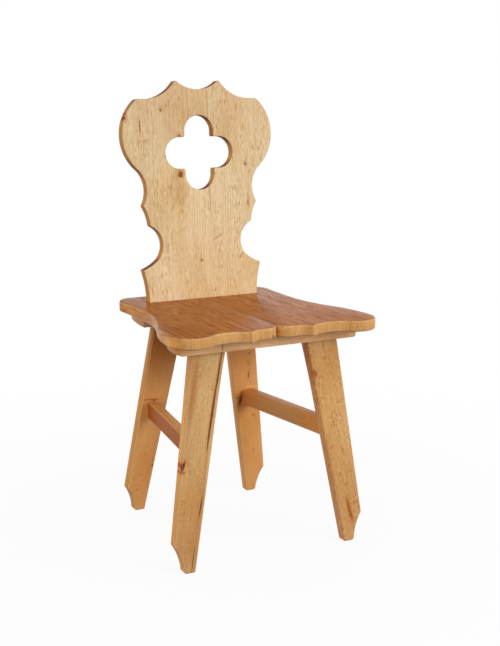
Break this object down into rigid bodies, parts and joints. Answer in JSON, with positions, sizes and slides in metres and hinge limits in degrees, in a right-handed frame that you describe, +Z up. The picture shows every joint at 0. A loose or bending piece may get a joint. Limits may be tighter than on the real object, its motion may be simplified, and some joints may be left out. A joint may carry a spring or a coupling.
{
  "type": "board chair",
  "caption": "Solid pine board chair with a shaped, slightly tilted back, quatrefoil hand hold, scalloped plank seat and splayed tapered board legs joined by side stretchers.",
  "frame": {"origin": "on the floor under the middle of the seat", "axes": "+Z up, the chair faces -Y, +X is to the right as seen from the front"},
  "size_m": [0.417, 0.413, 0.8817],
  "materials": {
    "back_pine": "pale honey pine, satin clear varnish",
    "seat_pine": "warm brown pine, satin varnish",
    "leg_pine": "ochre pine with knots, satin varnish",
    "batten_pine": "brown pine, satin varnish",
    "stretcher_pine": "orange-brown pine, satin varnish",
    "hardwood": "planed beech, bare",
    "screw_steel": "zinc-plated"
  },
  "bodies": {
    "root": {"back_stave_left": "back_pine", "back_stave_right": "back_pine", "back_key_left": "hardwood", "back_key_right": "hardwood", "seat_board_left": "seat_pine", "seat_board_right": "seat_pine", "seat_dowels": "hardwood", "front_batten": "batten_pine", "rear_batten": "batten_pine", "front_batten_screws": "screw_steel", "rear_batten_screws": "screw_steel", "front_left_leg": "leg_pine", "front_right_leg": "leg_pine", "rear_left_leg": "leg_pine", "rear_right_leg": "leg_pine", "front_left_leg_wedge": "hardwood", "front_right_leg_wedge": "hardwood", "rear_left_leg_wedge": "hardwood", "rear_right_leg_wedge": "hardwood", "left_stretcher": "stretcher_pine", "right_stretcher": "stretcher_pine"}
  },
  "joints": []
}
